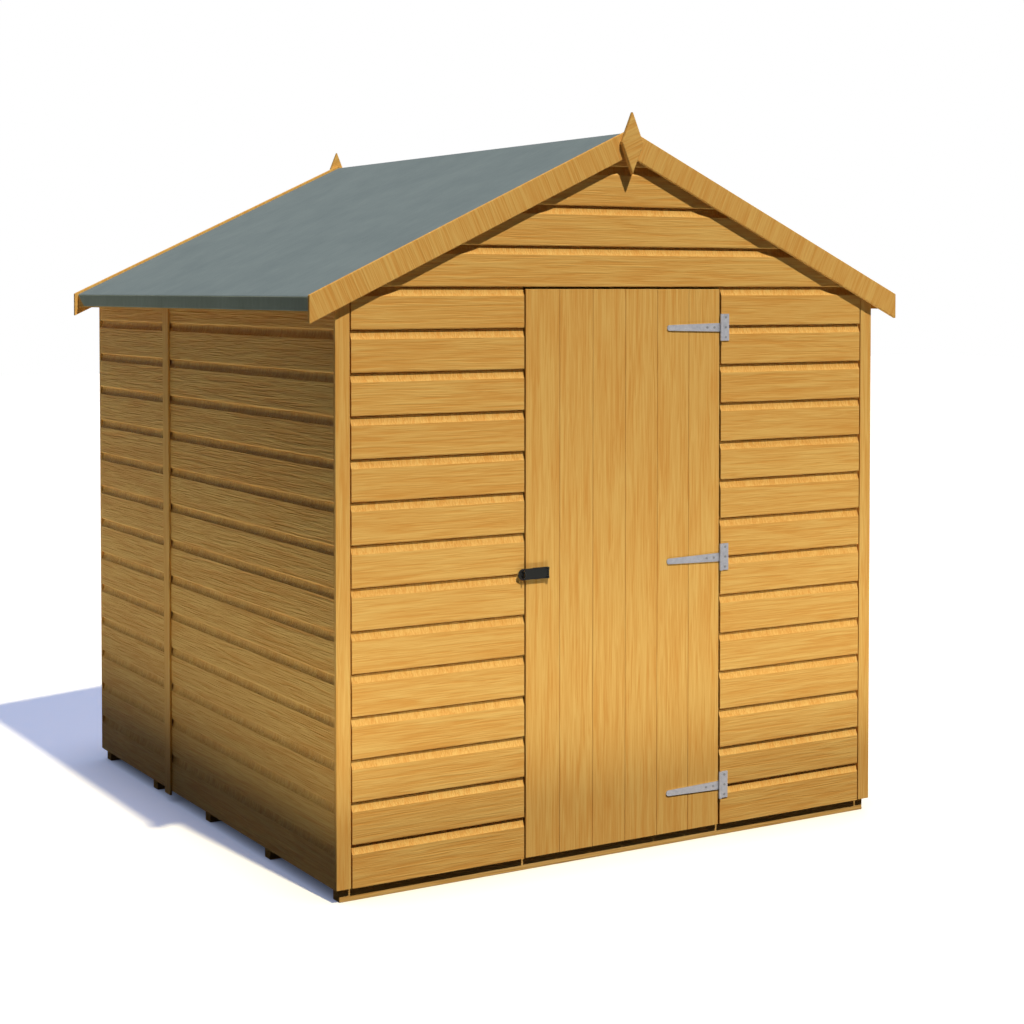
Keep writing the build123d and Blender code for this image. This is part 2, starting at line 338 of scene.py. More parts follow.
def make_wood(name, pale, dark, roughness, relief):
    material, tree, shader = start_material(name, Roughness=roughness, Specular_IOR_Level=0.1)
    spot = add_node(tree, "Attribute", attribute_name=GRAIN).outputs["Vector"]
    growth = noise(tree, spot, growth_waves, detail=2.0, roughness=0.5, distortion=0.3)
    folds = math_node(tree, "MULTIPLY", growth, ring_folds)
    rings = math_node(tree, "PINGPONG", folds, 1.0)
    streaks = noise(tree, spot, streak_waves, detail=2.0, roughness=0.6, distortion=1.0)
    fibres = noise(tree, spot, fibre_waves, detail=2.0, roughness=0.6, distortion=0.5)
    drift = noise(tree, spot, drift_waves, detail=2.0, roughness=0.5)
    tone = math_node(tree, "MULTIPLY_ADD", rings, ring_weight, tone_start)
    tone = math_node(tree, "MULTIPLY_ADD", streaks, streak_weight, tone)
    tone = math_node(tree, "MULTIPLY_ADD", fibres, fibre_weight, tone)
    tone = math_node(tree, "MULTIPLY_ADD", drift, drift_weight, tone)
    colour = colour_ramp(tree, tone, (0.18, dark), (0.82, pale))
    tree.links.new(colour, shader.inputs["Base Color"])
    tree.links.new(bump(tree, tone, relief), shader.inputs["Normal"])
    return material


stained_wood = make_wood(
    "stained_wood", pale=(0.795, 0.496, 0.145), dark=(0.705, 0.357, 0.082), roughness=0.60, relief=0.0007,
)
rough_wood = make_wood(
    "rough_stained_wood", pale=(0.805, 0.506, 0.150), dark=(0.675, 0.337, 0.077),
    roughness=0.60, relief=0.0016,
)
frame_wood = make_wood(
    "frame_wood", pale=(0.76, 0.48, 0.165), dark=(0.61, 0.33, 0.085), roughness=0.80, relief=0.0006,
)
print("woods:", stained_wood.name, rough_wood.name, frame_wood.name)

# %% [markdown]
# Roofing felt
#
# The felt is bitumen sheet with a skin of grey-green mineral chips. Seen close it is a field of grains,
# and from a few steps it is cloudy, with faint streaks that run down the slope where the chips were
# rolled in. The grains come from cells with a random shade each, the clouds and streaks from noise.
# Where the sheet hangs down over the eaves its colour is painted lighter and greener than on the slope:
# painted fill light for the turned-down edge, which the sun hardly reaches. The felt folds down a little
# inside the end of the bargeboards, so its edge is set in from its solid.

# %% Make the felt
eaves_set_in = 0.009
felt_edge = abs(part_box("left_roof_felt")[0].x) - eaves_set_in
felt_face_skin = 0.0008
chips_to_metre = 700.0
cloud_waves = (7.0, 5.0, 7.0)
roll_waves = (16.0, 75.0, 16.0)
felt_tone_start = 0.02
cloud_weight = 0.55
roll_weight = 0.38
chip_weight = 0.10
mineral_dark, mineral_pale = (0.167, 0.225, 0.268), (0.224, 0.294, 0.343)
# Painted fill light: lighter, greener colours for the turned-down edge of the felt, which the sun hardly
# reaches.
turn_down_painted_fill_dark, turn_down_painted_fill_pale = (0.380, 0.460, 0.400), (0.520, 0.620, 0.560)


def make_felt(name):
    material, tree, shader = start_material(name, Roughness=0.95, Specular_IOR_Level=0.15)
    spot = add_node(tree, "TexCoord").outputs["Object"]
    chips = add_node(tree, "TexVoronoi", {"Vector": spot, "Scale": chips_to_metre})
    shade = add_node(tree, "SeparateColor", {"Color": chips.outputs["Color"]}).outputs[0]
    clouds = noise(tree, spot, cloud_waves, detail=3.0, roughness=0.55)
    streaks = noise(tree, spot, roll_waves, detail=3.0, roughness=0.6, distortion=0.5)
    tone = math_node(tree, "MULTIPLY_ADD", clouds, cloud_weight, felt_tone_start)
    tone = math_node(tree, "MULTIPLY_ADD", streaks, roll_weight, tone)
    tone = math_node(tree, "MULTIPLY_ADD", shade, chip_weight, tone)
    mineral = colour_ramp(tree, tone, (0.30, mineral_dark), (0.75, mineral_pale))
    # The turned-down edge takes the painted fill colours instead of the mineral ones.
    turn_down_painted_fill = colour_ramp(tree, tone, (0.30, turn_down_painted_fill_dark), (0.75, turn_down_painted_fill_pale))
    reach = add_node(tree, "SeparateXYZ", {"Vector": spot}).outputs["X"]
    reach = math_node(tree, "ABSOLUTE", reach, 0.0)
    turn_down_painted_fill_mask = math_node(tree, "GREATER_THAN", reach, felt_edge - felt_face_skin)
    mixed = add_node(tree, "MixRGB", {"Fac": turn_down_painted_fill_mask, "Color1": mineral, "Color2": turn_down_painted_fill})
    tree.links.new(mixed.outputs["Color"], shader.inputs["Base Color"])
    tree.links.new(bump(tree, shade, distance=0.0006, strength=0.5), shader.inputs["Normal"])
    return material


roof_felt = make_felt("roof_felt")
print("felt:", roof_felt.name)

# %% [markdown]
# Three steels
#
# The tee hinges are zinc plated and dull, with a faint spangle, and their screws are a darker zinc. The
# hasp is black: a satin paint that is worn a little thinner in places, which shows as small changes of
# gloss. Spangle comes from cells with a random shade each, and wear from a fine noise.

# %% Make the steels
spangles_to_metre = 180.0
spangle_weight = 0.35
wipe_waves = (60.0, 60.0, 60.0)
wear_waves = (220.0, 220.0, 220.0)
black_dark, black_pale = (0.012, 0.013, 0.013), (0.019, 0.020, 0.019)


def grey(value):
    return (value, value, value)


def make_zinc(name, dark, pale):
    material, tree, shader = start_material(name, Metallic=0.75, Specular_IOR_Level=0.5)
    spot = add_node(tree, "TexCoord").outputs["Object"]
    spangle = add_node(tree, "TexVoronoi", {"Vector": spot, "Scale": spangles_to_metre})
    shade = add_node(tree, "SeparateColor", {"Color": spangle.outputs["Color"]}).outputs[0]
    wipe = noise(tree, spot, wipe_waves, detail=4.0, roughness=0.6)
    tone = math_node(tree, "MULTIPLY_ADD", shade, spangle_weight, wipe)
    colour = colour_ramp(tree, tone, (0.35, dark), (1.0, pale))
    gloss = colour_ramp(tree, tone, (0.3, grey(0.42)), (1.0, grey(0.56)))
    tree.links.new(colour, shader.inputs["Base Color"])
    tree.links.new(gloss, shader.inputs["Roughness"])
    return material


def make_black_steel(name):
    material, tree, shader = start_material(name, Specular_IOR_Level=0.15)
    spot = add_node(tree, "TexCoord").outputs["Object"]
    wear = noise(tree, spot, wear_waves, detail=4.0, roughness=0.65)
    colour = colour_ramp(tree, wear, (0.35, black_dark), (0.75, black_pale))
    gloss = colour_ramp(tree, wear, (0.3, grey(0.34)), (0.75, grey(0.52)))
    tree.links.new(colour, shader.inputs["Base Color"])
    tree.links.new(gloss, shader.inputs["Roughness"])
    tree.links.new(bump(tree, wear, distance=0.0002, strength=0.4), shader.inputs["Normal"])
    return material


zinc = make_zinc("zinc_steel", dark=(0.30, 0.31, 0.345), pale=(0.40, 0.41, 0.45))
screw_steel = make_zinc("screw_steel", dark=(0.20, 0.205, 0.215), pale=(0.27, 0.275, 0.29))
black_steel = make_black_steel("black_steel")
print("steels:", zinc.name, screw_steel.name, black_steel.name)

# %% [markdown]
# Shiplap boards
#
# The walls are clad in shiplap. A board has a flat face, a hollow cove along its upper edge, a tongue
# behind that, and a rounded lip along its lower edge that laps over the tongue of the board below. The
# sun throws the shadow of each lip into the cove under it, and that shadow is the dark line between the
# boards. One board is worked from a block: cuts at a few heights, each row of front corners pushed back
# to an arc of a circle, the back of the lip cut away, and the lower edge rounded. On the front and back
# walls a narrow slot is left behind the lip, which darkens the line, and on the side walls the boards fit
# close and the lip is rounder. A profile drawn as a curve would do too, but cuts keep the board in steps
# that can be seen and changed one by one.

# %% Shape one board
board_cover = 0.1125
cladding = 0.012
crease_height = 0.0885
cove_top = 0.110
cove_radius = 0.0375
cove_steps = 6
lip_foot = 0.0010
LIP_RADIUS = {"gable": 0.0030, "side": 0.0040}
SLOT_DEPTH = {"gable": 0.003, "side": 0.0}
lip_segments = 4
tongue_lap = 0.006
tongue_gap = 0.0004
rebate_step = 0.0002
cove_slope = 0.01
COVE_ANGLE = math.radians(25)


def cove_reach(height):
    """How far the arc of the cove lies in front of its centre at a height on the board."""
    return math.sqrt(cove_radius ** 2 - (cove_top - height) ** 2)


cove_depth = cove_reach(cove_top) - cove_reach(crease_height)
lip_thickness = cove_depth - tongue_gap


def shape_board(name, length, kind):
    """One board along X, its face at y = 0 and the foot of its lip at z = 0."""
    board = start_block(name, (0, 0, lip_foot), (length, cladding, board_cover + tongue_lap))
    edit(board)
    rows = []
    for step in range(cove_steps + 1):
        height = crease_height + (cove_top - crease_height) * step / cove_steps
        rows.append((height, cove_reach(height) - cove_reach(crease_height)))
        slice_at((0, 0, height), (0, 0, 1))
    slice_at((0, 0, cove_top + rebate_step), (0, 0, 1))
    for height, depth in rows[1:]:
        pick_corners(board, lambda spot: spot.y < TINY and abs(spot.z - height) < TINY)
        bpy.ops.transform.translate(value=(0, depth, 0))
    pick_corners(board, lambda spot: spot.y < TINY and spot.z > cove_top + TINY)
    bpy.ops.transform.translate(value=(0, cove_depth + SLOT_DEPTH[kind], 0))
    rebate_top = tongue_lap + rebate_step
    slice_at((0, 0, rebate_top), (0, 0, 1))
    slice_at((0, 0, rebate_top + rebate_step), (0, 0, 1))
    pick_corners(board, lambda spot: spot.y > cladding - TINY and spot.z < rebate_top + TINY)
    bpy.ops.transform.translate(value=(0, lip_thickness - cladding, 0))
    pick_edges(board, lambda spot: spot.y < TINY and spot.z < lip_foot + TINY)
    bpy.ops.mesh.bevel(offset=LIP_RADIUS[kind], segments=lip_segments, affect="EDGES")
    deselect_all()
    return board


def in_cove(face, foot):
    """Faces of the cove, whose grain is drawn across the board."""
    height = face.calc_center_median().z - foot + lip_foot
    return crease_height < height < board_cover and face.normal.z > cove_slope


print("board cover:", board_cover, "cove depth:", round(cove_depth, 4))

# %% [markdown]
# Walls of boards
#
# A wall is a stack of boards on each slab of the solids: two beside the door, one over it, one at the
# back, and a long and a short panel on each side. An array stacks the boards, and the start corner and
# the turn of each stack follow from the box of its slab and the side that it faces. The lowest board has
# no board to lap over, so its foot is square. The roof planes cut off what stands too high, and the side
# panels stop under the strip that covers their joint, where the open ends of the coves show as dark dots.

# %% Stack the boards of every wall
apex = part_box("front_gable")[1].z
eaves_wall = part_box("left_wall_front")
roof_rise = (apex - eaves_wall[1].z) / abs(eaves_wall[1].x)
roof_planes = (Vector((-roof_rise, 0, 1)), Vector((roof_rise, 0, 1)))
joint_lap = 0.004
upright, level_x, level_y = (0, 0, 1), (1, 0, 0), (0, 1, 0)
FACINGS = {"front": 0.0, "right": math.pi / 2, "back": math.pi, "left": -math.pi / 2}


def wall_start(low, high, facing):
    """Lower corner where the boards of a wall start, and their length."""
    starts = {
        "front": (low.x, low.y, high.x - low.x),
        "back": (high.x, high.y, high.x - low.x),
        "left": (low.x, high.y, high.y - low.y),
        "right": (high.x, low.y, high.y - low.y),
    }
    x, y, length = starts[facing]
    return Vector((x, y, low.z)), length


def square_foot(wall, kind):
    """The lowest board has nothing to lap over: its lip is brought out flush and down to the foot."""
    edit(wall)
    lip_radius = LIP_RADIUS[kind]
    pick_corners(wall, lambda spot: spot.z < lip_foot + lip_radius + TINY and spot.y < lip_radius + TINY)
    bpy.ops.transform.resize(value=(1, 0, 1), center_override=(0, 0, 0))
    pick_corners(wall, lambda spot: spot.z < lip_foot + TINY)
    bpy.ops.transform.translate(value=(0, 0, -lip_foot))


def stop_at_joint(high, facing):
    """The boards of a side panel stop just under the strip that covers the joint of the panels."""
    strip_low, strip_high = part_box(f"{facing}_joint_strip")
    if high.y < strip_high.y:
        slice_at((0, strip_low.y + joint_lap, 0), (0, 1, 0), drop=True)
    else:
        slice_at((0, strip_high.y - joint_lap, 0), (0, -1, 0), drop=True)


def clad_wall(name, node, facing):
    low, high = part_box(node)
    start, length = wall_start(low, high, facing)
    rows = math.ceil((high.z - low.z) / board_cover - TINY)
    kind = "side" if facing in ("left", "right") else "gable"
    wall = shape_board(name, length, kind)
    repeat(wall, rows, (0, 0, board_cover))
    if low.z < eaves_wall[0].z + TINY:
        square_foot(wall, kind)
    place(wall, start, FACINGS[facing])
    edit(wall)
    for plane in roof_planes:
        slice_at((0, 0, apex), plane, drop=True)
    if kind == "side":
        stop_at_joint(high, facing)
    deselect_all()
    lay_grain(wall, level_y if kind == "side" else level_x, in_cove)
    print(name, "has", rows, "rows and", len(wall.data.polygons), "faces")
    wood = rough_wood if kind == "side" else stained_wood
    return finish_piece(wall, wood, "stained_boards", "shed", node, round_angle=COVE_ANGLE)


clad_wall("front_left_boards", "front_wall_left", "front")
clad_wall("front_right_boards", "front_wall_right", "front")
clad_wall("front_gable_boards", "front_gable", "front")
clad_wall("back_boards", "back_wall", "back")
for side in ("left", "right"):
    for panel in ("front", "rear"):
        clad_wall(f"{side}_{panel}_boards", f"{side}_wall_{panel}", side)

# %% [markdown]
# Sawn timber and trim
#
# The frame, the strips and the bargeboards already have their right shape in the solids, so each is a
# copy of the solid with its edges eased. The copy comes as loose triangles: its doubles are merged and
# its flat faces dissolved, and then a bevel takes the sharpness off. That thin lit line along an edge
# is what makes it read as timber. Where a piece needs a little more work, a function does it first.

# %% Copy a solid and ease its edges
EASE_ANGLE = math.radians(25)
FLAT_ANGLE = math.radians(0.5)


def copy_solid(name, node):
    piece = bpy.data.objects.new(name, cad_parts[node].data.copy())
    piece.data.name = name
    bpy.context.scene.collection.objects.link(piece)
    make_active(piece)
    bpy.ops.mesh.customdata_custom_splitnormals_clear()
    bpy.ops.object.mode_set(mode="EDIT")
    bpy.ops.mesh.select_all(action="SELECT")
    bpy.ops.mesh.remove_doubles(threshold=TINY)
    bpy.ops.mesh.dissolve_limited(angle_limit=FLAT_ANGLE)
    deselect_all()
    return piece


def ease_edges(piece, width, segments=2):
    apply_modifier(
        piece, "BEVEL", width=width, segments=segments, limit_method="ANGLE",
        angle_limit=EASE_ANGLE, use_clamp_overlap=True,
    )


def ease_timber(node, along, width, material, slot, body="shed", work=None):
    piece = copy_solid(f"{node}_timber", node)
    if work:
        work(piece)
    ease_edges(piece, width)
    count = lay_grain(piece, along)
    print(piece.name, "has", count, "planks")
    return finish_piece(piece, material, slot, body, node)


# %% [markdown]
# Frame of the walls and the roof
#
# Behind the boards stand studs, rails and rafters, and under the roof lie purlins, a ridge beam and the
# battens at the eaves. They are sawn square and left bare, so their edges are hardly eased. The battens
# are cut back with the felt that folds down over them. New blocks would do as well, but copies of the
# solids stay where the joints of the frame are.

# %% Ease the frame
sawn_edge = 0.0012
frame_finish = (sawn_edge, frame_wood, "frame_timber")


def trim_battens(battens):
    """Cuts the battens at the eaves back to the felt that folds down over them."""
    outer = max(corner.co.x for corner in battens.data.vertices)
    edit(battens)
    for hand in (1, -1):
        slice_at((hand * (outer - eaves_set_in), 0, 0), (hand, 0, 0), drop=True)
    deselect_all()


for wall in ("front", "back"):
    ease_timber(f"{wall}_wall_studs", upright, *frame_finish)
    ease_timber(f"{wall}_wall_rails", level_x, *frame_finish)
    ease_timber(f"{wall}_rafters", level_x, *frame_finish)
for wall in ("left", "right"):
    ease_timber(f"{wall}_wall_studs", upright, *frame_finish)
    ease_timber(f"{wall}_wall_rails", level_y, *frame_finish)
for node in ("roof_purlins", "ridge_beam"):
    ease_timber(node, level_y, *frame_finish)
ease_timber("eaves_battens", level_y, *frame_finish, work=trim_battens)
ease_timber("floor_bearers", level_x, *frame_finish)

# %% [markdown]
# Strips, bargeboards and finials
#
# The trim is planed and stained. Corner strips close the ends of the boards, a thin strip covers the
# joint of the side panels and hangs a little below them, and the bargeboards cover the ends of the roof.
# Their grain is drawn square to the slope, so it follows the roof planes, and the grain of the diamond
# finials runs slantwise. Each piece is a copy of its solid, since only the edges and the strip change.

# %% Ease the trim
planed_edge = 0.0015
barge_edge = 0.0025
finial_edge = 0.004
finial_grain = (1, 0, 0.45)
joint_planing = 0.005
joint_drop = 0.014
stained = (stained_wood, "stained_boards")


def work_joint_strip(strip):
    """Planes the outer face of a strip on a side wall and lets its foot hang below the boards."""
    outer = max((corner.co.x for corner in strip.data.vertices), key=abs)
    foot = min(corner.co.z for corner in strip.data.vertices)
    edit(strip)
    pick_corners(strip, lambda spot: abs(spot.x - outer) < TINY)
    bpy.ops.transform.translate(value=(-math.copysign(joint_planing, outer), 0, 0))
    pick_corners(strip, lambda spot: abs(spot.z - foot) < TINY)
    bpy.ops.transform.translate(value=(0, 0, -joint_drop))
    deselect_all()


for node in ("front_corner_strips", "back_corner_strips"):
    ease_timber(node, upright, planed_edge, *stained)
for node in ("left_joint_strip", "right_joint_strip"):
    ease_timber(node, upright, planed_edge, *stained, work=work_joint_strip)
for end in ("front", "back"):
    for side, plane in zip(("left", "right"), roof_planes):
        ease_timber(f"{end}_{side}_bargeboard", plane, barge_edge, *stained)
    ease_timber(f"{end}_finial", finial_grain, finial_edge, *stained)

# %% [markdown]
# Boards of the door, the floor and the roof
#
# The door is six upright boards with a fine V where two meet, and a tongue behind the V that closes the
# gap. The floor boards run from front to back over the bearers, and the roof boards run from gable to
# gable. Each set is one board with its long edges chamfered, repeated by an array. Grooves cut into a
# slab would look alike from outside, but separate boards each get their own grain.

# %% Chamfered boards side by side
FACING = 0.99
tongue_front_share = 0.45
tongue_back_share = 0.75
tongue_fill_share = 0.95


def add_tongue(board, gap):
    """A tongue on the +X side of an upright board, which closes the gap to the next one."""
    depths = [corner.co.y for corner in board.data.vertices]
    front, back = min(depths), max(depths)
    tongue_front = front + (back - front) * tongue_front_share
    tongue_back = front + (back - front) * tongue_back_share
    edit(board)
    slice_at((0, tongue_front, 0), (0, 1, 0))
    slice_at((0, tongue_back, 0), (0, 1, 0))
    pick_faces(board, lambda centre, normal: normal.x > FACING and tongue_front < centre.y < tongue_back)
    reach = (gap * tongue_fill_share, 0, 0)
    bpy.ops.mesh.extrude_region_move(TRANSFORM_OT_translate={"value": reach})
    deselect_all()


def chamfered_boards(name, low, high, count, step_axis, chamfer, gap=0.0):
    """Boards side by side between two corners, every long edge chamfered."""
    low, high = Vector(low), Vector(high)
    step = Vector((0, 0, 0))
    step[step_axis] = (high[step_axis] - low[step_axis]) / count
    far = high.copy()
    far[step_axis] = low[step_axis] + step[step_axis] - gap
    boards = start_block(name, low, far)
    apply_modifier(boards, "BEVEL", width=chamfer, segments=1, limit_method="ANGLE")
    if gap:
        add_tongue(boards, gap)
    repeat(boards, count, step)
    return boards


# %% Door boards, ledges and braces
door_board_count = 6
door_chamfer = 0.0010
door_joint = 0.0008
door = chamfered_boards(
    "upright_door_boards", *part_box("door_boards"), door_board_count, 0, door_chamfer, gap=door_joint,
)
lay_grain(door, upright)
finish_piece(door, *stained, "door", "door_boards")
ease_timber("door_ledges", level_x, planed_edge, *stained, "door")
ease_timber("door_braces", upright, planed_edge, *stained, "door")
print("door boards:", door_board_count)

# %% Floor boards
floor_board_count = 18
floor_chamfer = 0.0006
deck = chamfered_boards("floor_boards", *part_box("floor_deck"), floor_board_count, 0, floor_chamfer)
lay_grain(deck, level_y)
finish_piece(deck, frame_wood, "frame_timber", "shed", "floor_deck")
print("floor boards:", floor_board_count)

# %% [markdown]
# Roof boards
#
# The boards of a slope are laid level, tilted about the ridge to the slope, and cut plumb at the ridge
# and behind the felt at the eaves. The left slope is the right one turned half round, so the same steps
# make both.

# %% Lay the roof boards
roof_board_count = 11
ridge_overrun = 0.02
roof_tilt = math.atan(roof_rise)
roof_low, roof_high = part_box("right_roof_boards")
roof_board_thickness = (roof_high.z - apex) * math.cos(roof_tilt)
slope_length = roof_high.x / math.cos(roof_tilt)


def lay_roof_boards(name, node, turn):
    low = (-ridge_overrun, roof_low.y, 0)
    high = (slope_length + ridge_overrun, roof_high.y, roof_board_thickness)
    boards = chamfered_boards(name, low, high, roof_board_count, 0, floor_chamfer)
    make_active(boards)
    boards.rotation_euler = (0, roof_tilt, 0)
    boards.location = (0, 0, apex)
    bpy.ops.object.transform_apply(location=True, rotation=True, scale=True)
    edit(boards)
    slice_at((0, 0, 0), (-1, 0, 0), drop=True)
    slice_at((roof_high.x - eaves_set_in, 0, 0), (1, 0, 0), drop=True)
    place(boards, (0, 0, 0), turn)
    lay_grain(boards, level_y)
    print(name, "has", len(boards.data.polygons), "faces")
    finish_piece(boards, frame_wood, "frame_timber", "shed", node)


lay_roof_boards("right_slope_boards", "right_roof_boards", 0.0)
lay_roof_boards("left_slope_boards", "left_roof_boards", math.pi)

# %% [markdown]
# Felt sheets
#
# Each slope carries one sheet of felt, folded down over the eaves just inside the bargeboards. Felt
# doesn't fold to a sharp edge, so the outer edge of the fold is rounded by a few millimetres, and the
# cut edges are left nearly sharp. At the back the corner of the turned-down edge is cut off slantwise.
# A cloth would sag between nails, but here boards carry the sheet all over, so a shaped copy is enough.

# %% Fold and cut the felt
fold_radius = 0.004
fold_segments = 4
felt_cut_edge = 0.0006
corner_cut = 0.062
turn_down_pick = 0.004


def lay_felt(name, node):
    low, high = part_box(node)
    felt = copy_solid(name, node)
    rise = eaves_set_in * roof_rise
    inward = math.copysign(eaves_set_in, -(low.x + high.x))
    edit(felt)
    pick_corners(felt, lambda spot: abs(spot.x) > felt_edge + eaves_set_in - turn_down_pick)
    bpy.ops.transform.translate(value=(inward, 0, rise))
    deselect_all()
    foot = low.z + rise
    edge_corners = [corner.co for corner in felt.data.vertices if abs(corner.co.x) > felt_edge - TINY]
    fold = max(corner.z for corner in edge_corners)
    edit(felt)
    slice_at((0, high.y - corner_cut, foot), (0, fold - foot, -corner_cut), drop=True)
    pick_edges(felt, lambda spot: abs(spot.x) > felt_edge - TINY and spot.z > foot + TINY)
    bpy.ops.mesh.bevel(offset=fold_radius, segments=fold_segments, affect="EDGES")
    deselect_all()
    ease_edges(felt, felt_cut_edge, 1)
    print(name, "has", len(felt.data.polygons), "faces")
    finish_piece(felt, roof_felt, "roof_felt", "shed", node)


for side in ("left", "right"):
    lay_felt(f"{side}_felt_sheet", f"{side}_roof_felt")

# %% [markdown]
# Hinges, hasp and staple
#
# The ironwork keeps the shape of its solids, with the edges of the pressed steel just broken. Each
# piece stays on its own body: plates and staple on the wall, straps and hasp plate on the door, and the
# hasp strap on its own pin.

# %% Break the edges of the steel
steel_edge = 0.0005


def ease_steel(node, material, slot, body):
    piece = copy_solid(f"{node}_steel", node)
    ease_edges(piece, steel_edge)
    print(piece.name, "has", len(piece.data.polygons), "faces")
    return finish_piece(piece, material, slot, body, node)


ease_steel("hinge_plates", zinc, "galvanised_steel", "shed")
ease_steel("hinge_straps", zinc, "galvanised_steel", "door")
ease_steel("hasp_plate", black_steel, "black_steel", "door")
ease_steel("hasp_strap", black_steel, "black_steel", "hasp")
ease_steel("hasp_staple", black_steel, "black_steel", "shed")

# %% [markdown]
# Screws
#
# Each hinge plate is held by three screws, each strap by two, and the hasp plate by four. A screw head is
# a low cylinder with its rim rounded and a tapered recess for the driver. It is modelled once, facing the
# viewer, and copied to every place, and the copies on one body are joined into one piece.

# %% Model one screw head and copy it
screw_radius = 0.0036
screw_height = 0.0009
screw_sides = 16
rim_round = screw_height / 3
recess_inset = 0.0019
recess_depth = 0.0008
recess_taper = 0.5


def shape_screw():
    """A screw head on the plane y = 0, facing -Y."""
    deselect_all()
    bpy.ops.mesh.primitive_cylinder_add(
        vertices=screw_sides, radius=screw_radius, depth=screw_height,
        location=(0, -screw_height / 2, 0), rotation=(math.pi / 2, 0, 0),
    )
    screw = bpy.context.object
    bpy.ops.object.transform_apply(location=True, rotation=True, scale=True)
    edit(screw)
    pick_faces(screw, lambda centre, normal: normal.y < -FACING)
    bpy.ops.mesh.bevel(offset=rim_round, segments=2, affect="EDGES")
    pick_faces(screw, lambda centre, normal: normal.y < -FACING)
    bpy.ops.mesh.inset(thickness=recess_inset, depth=0)
    bpy.ops.mesh.inset(thickness=recess_inset * recess_taper / 2, depth=-recess_depth)
    deselect_all()
    return screw


def set_screws(name, places, material, slot, body):
    screw = shape_screw()
    copies = []
    for spot in places:
        copy = bpy.data.objects.new(name, screw.data.copy())
        bpy.context.scene.collection.objects.link(copy)
        place(copy, spot)
        copies.append(copy)
    bpy.data.objects.remove(screw)
    deselect_all()
    for copy in copies:
        copy.select_set(True)
    bpy.context.view_layer.objects.active = copies[0]
    bpy.ops.object.join()
    copies[0].name = copies[0].data.name = name
    print(name, "has", len(places), "screws")
    return finish_piece(copies[0], material, slot, body)


# %% Set the screws of the hinges and the hasp
plates_low, plates_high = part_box("hinge_plates")
straps_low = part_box("hinge_straps")[0]
steel_thickness = 0.003
steel_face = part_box("door_boards")[0].y - steel_thickness
plate_half_height = 0.039
plate_screw_inset = 0.0115
plate_screw_drop = 0.029
strap_screw_inset = (0.1415, 0.167)
hinge_heights = [
    plates_low.z + plate_half_height,
    (plates_low.z + plates_high.z) / 2,
    plates_high.z - plate_half_height,
]
plate_places = [
    (plates_high.x - plate_screw_inset, steel_face, height + drop)
    for height in hinge_heights
    for drop in (-plate_screw_drop, 0, plate_screw_drop)
]
strap_places = [
    (straps_low.x + inset, steel_face, height)
    for height in hinge_heights
    for inset in strap_screw_inset
]
set_screws("hinge_plate_screws", plate_places, screw_steel, "galvanised_steel", "shed")
set_screws("hinge_strap_screws", strap_places, screw_steel, "galvanised_steel", "door")
hasp_low, hasp_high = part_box("hasp_plate")
hasp_middle = (hasp_low.z + hasp_high.z) / 2
hasp_screw_inset = (0.010, 0.030)
hasp_screw_drop = 0.009
hasp_places = [
    (hasp_low.x + inset, steel_face, hasp_middle + drop)
    for inset in hasp_screw_inset
    for drop in (-hasp_screw_drop, hasp_screw_drop)
]
set_screws("hasp_plate_screws", hasp_places, black_steel, "black_steel", "door")

# %% [markdown]
# Floor and surround
#
# The shed stands on a plain white floor in a white surround. The floor is white to the camera. It glows
# with a painted cool shadow colour, which shows where the sun doesn't reach it, and a painted contact
# shadow darkens that colour where the shed stands close. To light that bounces the floor is dark, so that
# it doesn't wash out the foot of the walls. More light would make a floor white too, but it would bleach
# the wood with it.

# %% Floor
floor_size = 60.0
floor_drop = 0.0005
# shadow_tint is the painted shadow colour that the floor glows with; lit_tint is its colour in the sun.
shadow_tint = (0.41, 0.48, 0.71)
lit_tint = (0.85, 0.82, 0.62)
bounce_tint = (0.02, 0.02, 0.02)
painted_contact_shadow_reach = 0.35
deselect_all()
bpy.ops.mesh.primitive_plane_add(size=floor_size, location=(0, 0, -floor_drop))
floor = bpy.context.object
floor.name = "floor_stage"


def seen_ray(tree):
    """1 where a ray comes from the camera, a mirror or glass, and 0 for light that bounces."""
    path = add_node(tree, "LightPath").outputs
    mirrored = math_node(tree, "MAXIMUM", path["Is Glossy Ray"], path["Is Transmission Ray"])
    return math_node(tree, "MAXIMUM", path["Is Camera Ray"], mirrored)


def make_floor_material():
    material = bpy.data.materials.new("white_floor")
    material.use_nodes = True
    tree = material.node_tree
    tree.nodes.clear()
    # Painted contact shadow: ambient occlusion darkens the glowing shadow colour near the shed.
    painted_contact_shadow = add_node(tree, "AmbientOcclusion", {"Color": (*shadow_tint, 1), "Distance": painted_contact_shadow_reach})
    shade = add_node(tree, "Emission", {"Color": painted_contact_shadow.outputs["Color"], "Strength": 1.0})
    lit = add_node(tree, "BsdfDiffuse", {"Color": (*lit_tint, 1)})
    seen = add_node(tree, "AddShader", {0: shade.outputs[0], 1: lit.outputs[0]})
    dark = add_node(tree, "BsdfDiffuse", {"Color": (*bounce_tint, 1)})
    mixed = add_node(tree, "MixShader", {0: seen_ray(tree), 1: dark.outputs[0], 2: seen.outputs[0]})
    add_node(tree, "OutputMaterial", {"Surface": mixed.outputs[0]})
    return material


floor.data.materials.append(make_floor_material())
print("floor:", floor_size, "m square")

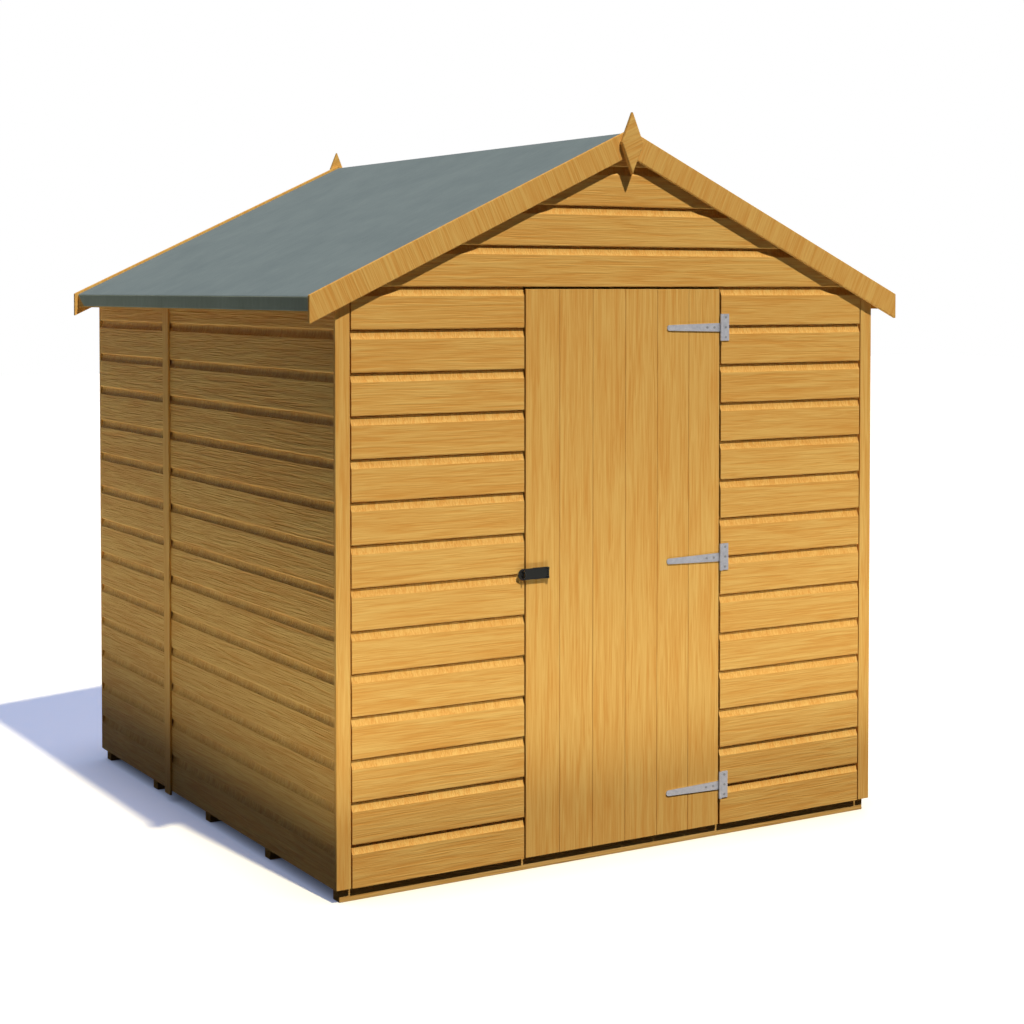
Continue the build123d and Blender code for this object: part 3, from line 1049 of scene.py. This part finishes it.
# %% World
sky_colour = (0.016, 0.018, 0.022)
world = bpy.data.worlds.new("white_surround")
bpy.context.scene.world = world
world.use_nodes = True
world_tree = world.node_tree
world_tree.nodes.clear()
sky = add_node(world_tree, "Background", {"Color": (*sky_colour, 1), "Strength": 1.0})
white = add_node(world_tree, "Background", {"Color": (1, 1, 1, 1), "Strength": 1.0})
shaders = {0: seen_ray(world_tree), 1: sky.outputs[0], 2: white.outputs[0]}
surround = add_node(world_tree, "MixShader", shaders)
add_node(world_tree, "OutputWorld", {"Surface": surround.outputs[0]})
print("world:", world.name)

# %% [markdown]
# Sun and strips
#
# A sun from the front throws the shadows of the lips, the bargeboards and the eaves. The walls also take
# light from below, brightest at knee height, so a long strip lies on the floor along each wall and shines
# up at it. The strips of the front and the left side lie close and a little aslant, because there the
# light falls off along the wall. The right side and the back get plain wide ones. The camera and the
# reflections don't see the strips.

# %% Light the shed
sun_place = (0, 0, 4)
sun_direction = Vector((-0.041, 0.528, -0.848))
sun_strength = 3.74
sun_colour = (1.0, 0.905, 0.754)
sun_width = math.radians(1.6)
strip_width = 0.06
strip_height = 0.01
strip_colour = (1.0, 0.985, 0.88)
side_strip = {
    "distance": 0.64, "shift": 0.383, "slant": 0.108, "length": 3.46,
    "lift": 65.7, "spread": 108.1, "power": 6.85,
}
end_strip = {
    "distance": 0.507, "shift": 0.379, "slant": 0.005, "length": 3.40,
    "lift": 60.4, "spread": 84.6, "power": 4.80,
}
plain_strip = {
    "distance": 1.10, "shift": 0.0, "slant": 0.0, "length": 3.40,
    "lift": 58.0, "spread": 112.0, "power": 15.0,
}
STRIPS = {"left": side_strip, "right": plain_strip, "front": end_strip, "back": plain_strip}
side_wall = abs(eaves_wall[0].x)
end_wall = abs(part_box("front_wall_left")[0].y)


def add_light(name, kind, location, direction, **settings):
    lamp = bpy.data.lights.new(name, kind)
    for setting, value in settings.items():
        setattr(lamp, setting, value)
    light = bpy.data.objects.new(name, lamp)
    bpy.context.scene.collection.objects.link(light)
    light.location = location
    light.rotation_euler = Vector(direction).to_track_quat("-Z", "Y").to_euler()
    return light


def strip_place(facing, strip):
    """Where a strip lies on the floor beside its wall, and the way to the wall."""
    hand = 1 if facing in ("right", "back") else -1
    shift, slant = strip["shift"], strip["slant"]
    if facing in ("left", "right"):
        return (hand * (side_wall + strip["distance"]), shift, strip_height), (-hand, slant, 0)
    return (shift, hand * (end_wall + strip["distance"]), strip_height), (slant, -hand, 0)


add_light("sun", "SUN", sun_place, sun_direction, energy=sun_strength, color=sun_colour, angle=sun_width)
for facing, strip in STRIPS.items():
    location, inward = strip_place(facing, strip)
    lift = math.radians(strip["lift"])
    direction = Vector(inward).normalized() * math.cos(lift)
    direction.z = math.sin(lift)
    light = add_light(
        f"{facing}_strip", "AREA", location, direction,
        energy=strip["power"], color=strip_colour, spread=math.radians(strip["spread"]),
        shape="RECTANGLE", size=strip["length"], size_y=strip_width,
    )
    light.visible_camera = False
    light.visible_glossy = False

# %% [markdown]
# Camera
#
# The picture was taken from the front left at head height, with the uprights kept nearly parallel. A
# lens that is shifted down does that: the camera looks almost level and the frame slides down.

# %% Place the camera
camera_place = (-3.0785, -5.4447, 1.605)
look_down = 1.7738
look_right = 30.878
lens_length = 68.01
sensor_width = 36.0
lens_shift = -0.159
camera_data = bpy.data.cameras.new("viewer")
camera_data.lens = lens_length
camera_data.sensor_width = sensor_width
camera_data.shift_y = lens_shift
camera = bpy.data.objects.new("viewer", camera_data)
bpy.context.scene.collection.objects.link(camera)
camera.location = camera_place
camera.rotation_euler = (math.radians(90 - look_down), 0, math.radians(-look_right))
bpy.context.scene.camera = camera
bpy.context.scene.view_settings.view_transform = "Standard"
print("camera at", tuple(round(part, 2) for part in camera.location))
